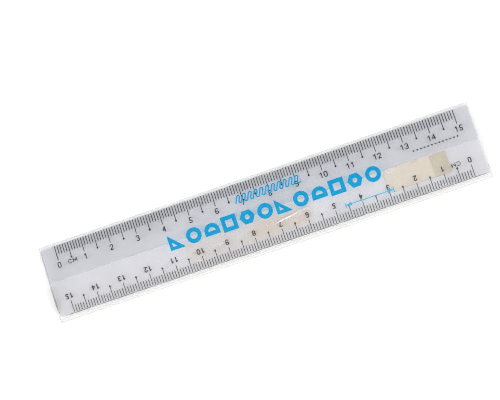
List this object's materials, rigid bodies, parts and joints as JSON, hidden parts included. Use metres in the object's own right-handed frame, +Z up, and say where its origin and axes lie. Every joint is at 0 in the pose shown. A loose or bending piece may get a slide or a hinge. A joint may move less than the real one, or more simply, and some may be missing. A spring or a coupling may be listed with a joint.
{
  "type": "straight ruler in sleeve",
  "caption": "Clear plastic straight ruler, graduated along both edges, that slides out of a clear printed film sleeve.",
  "frame": {"origin": "middle of the sleeve's flat back, on the surface it lies on", "axes": "+X along the ruler towards the upper scale's highest number, +Y towards the upper scale's edge, +Z up out of the printed face"},
  "size_m": [0.162, 0.0282, 0.0026],
  "materials": {
    "clear_plastic": "clear moulded styrene, glossy, lightly scratched",
    "black_ink": "hot-stamped black ink, worn in places",
    "tape": "aged translucent adhesive tape, crinkled",
    "clear_film": "thin clear film, glossy, creased",
    "blue_ink": "solid blue film print",
    "light_blue_ink": "thin light-blue film print"
  },
  "bodies": {
    "sleeve": {"back_film": "clear_film", "front_film": "clear_film", "sleeve_band_print": "blue_ink", "sleeve_scribble_print": "blue_ink", "sleeve_arrow_print": "light_blue_ink"},
    "ruler": {"blade": "clear_plastic", "upper_millimetre_lines": "black_ink", "upper_half_centimetre_lines": "black_ink", "upper_centimetre_lines": "black_ink", "upper_numerals": "black_ink", "upper_unit_mark": "black_ink", "upper_dot_row": "black_ink", "lower_millimetre_lines": "black_ink", "lower_half_centimetre_lines": "black_ink", "lower_centimetre_lines": "black_ink", "lower_numerals": "black_ink", "lower_unit_mark": "black_ink", "tape_strip": "tape"}
  },
  "joints": [
    {"name": "ruler_slide", "type": "slide", "parent": "sleeve", "child": "ruler", "axis": [1, 0, 0], "range_m": [0, 0.165]}
  ]
}
